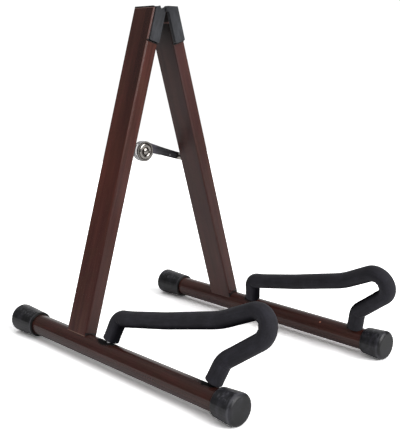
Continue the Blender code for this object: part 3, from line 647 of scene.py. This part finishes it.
# Sleeve of the yoke
FOAM_RADIUS = 0.0093
FOAM_BORE = 0.0043
FOAM_SIDES = 40
FOAM_SHARP_ANGLE = radians(50)
# Its centreline, measured forward and up in the side frame's plane
FOOT_HEIGHT = 0.0161
REAR_RAKE = radians(15)
REAR_BEND_HEIGHT = 0.0415
REAR_BEND_RADIUS = 0.0145
RUN_REAR_RISE = radians(12)
RUN_FRONT_RISE = radians(14)
BOW_FORWARD = 0.135
BOW_RADIUS = 0.35
HUMP_FORWARD = 0.212
HUMP_RISE = radians(25)
HUMP_RADIUS = 0.11
NOSE_FORWARD = 0.272
NOSE_RADIUS = 0.0153
RETURN_FALL = radians(36.9)
FRONT_RAKE = radians(18.3)
FRONT_BEND_RADIUS = 0.024
PATH_STEP = 0.0011
ARC_STEP = radians(4)
BOW_STEP = radians(1)
CURVATURE_PASSES = 6
# For each bend: swelling outside it, its reach along the sleeve, and folds inside it as offset,
# depth and half width
BEND_FORMS = (
    (0.0012, 0.011, ((0.0000, 0.0022, 0.0034), (0.0052, 0.0005, 0.0020))),
    (0.0003, 0.015, ((-0.0125, 0.0008, 0.0026), (-0.0065, 0.0006, 0.0024), (0.0040, 0.0004, 0.0024))),
    (0.0004, 0.010, ((0.0000, 0.0008, 0.0030), (-0.0060, 0.0004, 0.0022))),
)
# How far round from the inside of a bend, as a cosine past the side, its folds reach
FOLD_WRAP = 0.30
# Widening at each end: of the first rings, and further in as a swelling that fades
FLARE_RINGS = {0: 1.015, 1: 1.03, 2: 1.025}
FLARE_SWELL = 0.02
FLARE_REACH = 0.008


def rounded_corner(before, corner, after, radius, step):
    back = (before - corner).normalized()
    ahead = (after - corner).normalized()
    turn = pi - back.angle(ahead)
    centre = corner + (back + ahead).normalized() * radius / cos(turn / 2)
    arm = corner + back * radius * tan(turn / 2) - centre
    side = 1 if back.x * ahead.y - back.y * ahead.x < 0 else -1
    count = max(2, ceil(turn / step))
    return [centre + Matrix.Rotation(side * turn * i / count, 2) @ arm for i in range(count + 1)]


def yoke_path():
    """Centreline of the sleeve: rear foot, run, hump, nose and front foot."""
    rear_foot = Vector((REAR_FOOT, 0))
    rear_up = Vector((sin(REAR_RAKE), cos(REAR_RAKE)))
    front_foot = Vector((FRONT_FOOT, 0))
    front_up = Vector((sin(FRONT_RAKE), cos(FRONT_RAKE)))
    rear_bend = rear_foot + rear_up * REAR_BEND_HEIGHT / rear_up.y
    bow = Vector((BOW_FORWARD, rear_bend.y + (BOW_FORWARD - rear_bend.x) * tan(RUN_REAR_RISE)))
    hump = Vector((HUMP_FORWARD, bow.y + (HUMP_FORWARD - bow.x) * tan(RUN_FRONT_RISE)))
    hump_side = Vector((-sin(HUMP_RISE), cos(HUMP_RISE)))
    tip_x = NOSE_FORWARD - NOSE_RADIUS
    tip = Vector((tip_x, hump.y + ((tip_x - hump.x) * sin(HUMP_RISE) - NOSE_RADIUS) / cos(HUMP_RISE)))
    leaves = tip + Vector((sin(RETURN_FALL), -cos(RETURN_FALL))) * NOSE_RADIUS
    back_along = Vector((-cos(RETURN_FALL), -sin(RETURN_FALL)))
    gap = front_foot - leaves
    crossing = back_along.y * front_up.x - back_along.x * front_up.y
    distance = (gap.y * front_up.x - gap.x * front_up.y) / crossing
    front_bend = leaves + back_along * distance
    enters = tip + hump_side * NOSE_RADIUS

    path = [rear_foot + rear_up * FOOT_HEIGHT / rear_up.y]
    path += rounded_corner(path[0], rear_bend, bow, REAR_BEND_RADIUS, ARC_STEP)
    path += rounded_corner(rear_bend, bow, hump, BOW_RADIUS, BOW_STEP)
    path += rounded_corner(bow, hump, enters, HUMP_RADIUS, ARC_STEP)
    start = atan2(hump_side.y, hump_side.x)
    end = atan2(-cos(RETURN_FALL), sin(RETURN_FALL))
    count = ceil((start - end) / ARC_STEP)
    for i in range(count + 1):
        angle = start + (end - start) * i / count
        path.append(tip + NOSE_RADIUS * Vector((cos(angle), sin(angle))))
    end_point = front_foot + front_up * FOOT_HEIGHT / front_up.y
    path += rounded_corner(leaves, front_bend, end_point, FRONT_BEND_RADIUS, ARC_STEP)
    path.append(end_point)
    return resample(path, PATH_STEP)


def resample(path, step):
    """The same line with evenly spaced points."""
    lengths = [0.0]
    for a, b in zip(path, path[1:]):
        lengths.append(lengths[-1] + (b - a).length)
    count = round(lengths[-1] / step)
    points = []
    index = 0
    for i in range(count + 1):
        target = lengths[-1] * i / count
        while index < len(path) - 2 and lengths[index + 1] < target:
            index += 1
        span = lengths[index + 1] - lengths[index]
        part = (target - lengths[index]) / span if span > 0 else 0
        points.append(path[index].lerp(path[index + 1], part))
    return points


def smooth_curvature(tangents):
    """Curvature at each point of the path, evened out along it."""
    last = len(tangents) - 1
    pairs = [(tangents[max(i - 1, 0)], tangents[min(i + 1, last)]) for i in range(last + 1)]
    curvature = [(a.x * b.y - a.y * b.x) / (2 * PATH_STEP) for a, b in pairs]
    for _ in range(CURVATURE_PASSES):
        curvature = [
            (curvature[max(i - 1, 0)] + 2 * curvature[i] + curvature[min(i + 1, last)]) / 4
            for i in range(last + 1)
        ]
    return curvature


def sleeve_bends(curvature):
    """Middles of the rear bend, the nose and the front bend, and which way each turns."""
    count = len(curvature)
    rear = min(range(count // 4), key=lambda i: curvature[i])
    nose = min(range(count // 3, 4 * count // 5), key=lambda i: curvature[i])
    front = max(range(3 * count // 4, count), key=lambda i: curvature[i])
    return [(index * PATH_STEP, turn) for index, turn in ((rear, -1), (nose, -1), (front, 1))]


def sleeve_radius(length, across, bends):
    """Foam radius at a place along the sleeve: full outside each bend, folded and creased inside."""
    radius = FOAM_RADIUS
    for (middle, turn), (swell, reach, folds) in zip(bends, BEND_FORMS):
        inner = across * turn
        closeness = exp(-(((length - middle) / reach) ** 2))
        radius += swell * closeness * max(0.0, -inner)
        for offset, depth, width in folds:
            notch = max(0.0, 1 - abs(length - middle - offset) / width)
            radius -= depth * notch * min(1.0, max(0.0, inner + FOLD_WRAP))
    return radius


def sleeve_flare(rings_from_end):
    """How much wider than its bends make it the sleeve is near its ends."""
    swelling = 1 + FLARE_SWELL * exp(-rings_from_end * PATH_STEP / FLARE_REACH)
    return FLARE_RINGS.get(rings_from_end, swelling)


def sleeve_mesh(name, side):
    """Foam tube with a bore, bent along the yoke and cut square at both feet."""
    path = yoke_path()
    last = len(path) - 1
    tangents = [(path[min(i + 1, last)] - path[max(i - 1, 0)]).normalized() for i in range(last + 1)]
    bends = sleeve_bends(smooth_curvature(tangents))
    sleeve = bmesh.new()
    skin = sleeve.verts.layers.float_vector.new(SKIN)
    outer = []
    inner = []
    for i, (point, tangent) in enumerate(zip(path, tangents)):
        normal = Vector((-tangent.y, tangent.x))
        length = i * PATH_STEP
        flare = sleeve_flare(min(i, last - i))
        for rings in (outer, inner):
            ring = []
            for k in range(FOAM_SIDES):
                angle = 2 * pi * k / FOAM_SIDES
                across = cos(angle)
                r = flare * sleeve_radius(length, across, bends) if rings is outer else FOAM_BORE
                spot = point + normal * (r * across)
                vert = sleeve.verts.new((r * sin(angle), -spot.x, spot.y))
                vert[skin] = (length, r * across, r * sin(angle))
                ring.append(vert)
            rings.append(ring)
    around = [(k, (k + 1) % FOAM_SIDES) for k in range(FOAM_SIDES)]
    for low, high in zip(outer, outer[1:]):
        for k, n in around:
            sleeve.faces.new((low[k], low[n], high[n], high[k]))
    for low, high in zip(inner, inner[1:]):
        for k, n in around:
            sleeve.faces.new((high[k], high[n], low[n], low[k]))
    for index in (0, -1):
        for k, n in around:
            sleeve.faces.new((outer[index][k], inner[index][k], inner[index][n], outer[index][n]))
    bmesh.ops.recalc_face_normals(sleeve, faces=sleeve.faces)
    mesh = bpy.data.meshes.new(name)
    sleeve.to_mesh(mesh)
    sleeve.free()
    mesh.shade_smooth()
    mesh.set_sharp_from_angle(angle=FOAM_SHARP_ANGLE)
    mesh.transform(side_matrix(side) @ Matrix.Translation((side * LEG_OFFSET, 0, -HINGE_TO_TUBE)))
    return mesh


def foam_sleeve(side_name, side, foam):
    """Sleeve that takes the place of its plain CAD solid."""
    name = side_name + "_yoke_sleeve"
    item = add_object(name, sleeve_mesh(name, side))
    item.data.materials.append(foam)
    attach(item, side_name + "_frame")
    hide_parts(side_name + "_yoke_foam")


FLOOR_REACH = 1.5
FLOOR_LEVEL = 0.78
FLOOR_SEEN_LEVEL = 2.0


def add_floor():
    """Pale floor, lighter to the camera than to the rest of the scene."""
    mesh = bpy.data.meshes.new("floor")
    corners = [(x * FLOOR_REACH, y * FLOOR_REACH, 0) for x, y in ((-1, -1), (1, -1), (1, 1), (-1, 1))]
    mesh.from_pydata(corners, [], [(0, 1, 2, 3)])
    floor = add_object("floor", mesh)
    pale = Finish("floor", grey(0.70), 0.9, Specular_IOR_Level=0.0)
    rays = pale.node("ShaderNodeLightPath")
    levels = [(0.0, grey(FLOOR_LEVEL)), (1.0, grey(FLOOR_SEEN_LEVEL))]
    pale.paint(pale.ramp(rays.outputs["Is Camera Ray"], levels))
    mesh.materials.append(pale.material)


# Suns: direction towards each, power, angle, and whether it shows in reflections
SUNS = {
    "key": ((0.18, -0.88, 0.50), 2.45, radians(45), True),
    "fill": ((-0.85, -0.35, 0.18), 0.70, radians(32), False),
    "ceiling": ((-0.20, -0.10, 1.0), 0.50, radians(70), False),
}


def add_suns():
    """Soft light of one strength everywhere, from three directions."""
    for name, (towards, power, angle, reflected) in SUNS.items():
        data = bpy.data.lights.new(name, "SUN")
        data.energy = power
        data.angle = angle
        light = add_object(name, data)
        light.rotation_euler = Vector(towards).to_track_quat("Z", "Y").to_euler()
        light.visible_glossy = reflected


# Surroundings: level that the camera sees, levels from the nadir (0) to the zenith (1), and a light
# backdrop as a level, its direction and the dot products between which it fades in
WORLD_SEEN_LEVEL = 1.05
WORLD_LEVELS = ((0.0, 0.16), (0.5, 0.10), (0.62, 0.12), (0.80, 0.22), (1.0, 0.50))
BACKDROP_LEVEL = 0.9
BACKDROP = (0.70, 0.71, 0.0)
BACKDROP_EDGE = (0.80, 0.90)


def add_world():
    """White for the camera; elsewhere a dim horizon under a lighter ceiling, and a backdrop."""
    world = bpy.data.worlds.new("studio")
    bpy.context.scene.world = world
    world.use_nodes = True
    nodes = world.node_tree.nodes
    link = world.node_tree.links.new
    seen = nodes["Background"]
    seen.inputs["Color"].default_value = grey(1.0)
    seen.inputs["Strength"].default_value = WORLD_SEEN_LEVEL
    lit = nodes.new("ShaderNodeBackground")
    lit.inputs["Strength"].default_value = 1.0
    direction = nodes.new("ShaderNodeTexCoord").outputs["Generated"]
    height = nodes.new("ShaderNodeSeparateXYZ")
    link(direction, height.inputs["Vector"])
    lift = nodes.new("ShaderNodeMapRange")
    lift.inputs["From Min"].default_value = -1.0
    link(height.outputs["Z"], lift.inputs["Value"])
    levels = nodes.new("ShaderNodeValToRGB")
    fill_ramp(levels, [(position, grey(level)) for position, level in WORLD_LEVELS])
    link(lift.outputs["Result"], levels.inputs["Fac"])
    facing = nodes.new("ShaderNodeVectorMath")
    facing.operation = "DOT_PRODUCT"
    facing.inputs[1].default_value = BACKDROP
    link(direction, facing.inputs[0])
    card = nodes.new("ShaderNodeMapRange")
    for end, place in zip(("From Min", "From Max"), BACKDROP_EDGE):
        card.inputs[end].default_value = place
    link(facing.outputs["Value"], card.inputs["Value"])
    both = nodes.new("ShaderNodeMix")
    both.data_type = "RGBA"
    both.inputs["B"].default_value = grey(BACKDROP_LEVEL)
    link(card.outputs["Result"], both.inputs["Factor"])
    link(levels.outputs["Color"], both.inputs["A"])
    link(both.outputs["Result"], lit.inputs["Color"])
    rays = nodes.new("ShaderNodeLightPath")
    choice = nodes.new("ShaderNodeMixShader")
    link(rays.outputs["Is Camera Ray"], choice.inputs["Fac"])
    link(lit.outputs["Background"], choice.inputs[1])
    link(seen.outputs["Background"], choice.inputs[2])
    link(choice.outputs["Shader"], nodes["World Output"].inputs["Surface"])


CAMERA_PLACE = (-0.63493, -0.65670, 0.34519)
CAMERA_TURN = (radians(90 - 11.652), 0, radians(-44.006))
CAMERA_LENS = 64.274
CAMERA_SENSOR = 36.0


def add_camera():
    data = bpy.data.cameras.new("camera")
    data.sensor_width = CAMERA_SENSOR
    data.sensor_fit = "AUTO"
    data.lens = CAMERA_LENS
    camera = add_object("camera", data)
    camera.location = CAMERA_PLACE
    camera.rotation_euler = CAMERA_TURN
    bpy.context.scene.camera = camera


foam_finish = foam_material()
paint_nodes()
for side_name, side_sign in SIDES.items():
    foam_sleeve(side_name, side_sign, foam_finish)
add_floor()
add_world()
add_suns()
add_camera()
bpy.context.scene.view_settings.view_transform = "Standard"
bpy.context.scene.view_settings.look = "None"

bpy.context.view_layer.update()
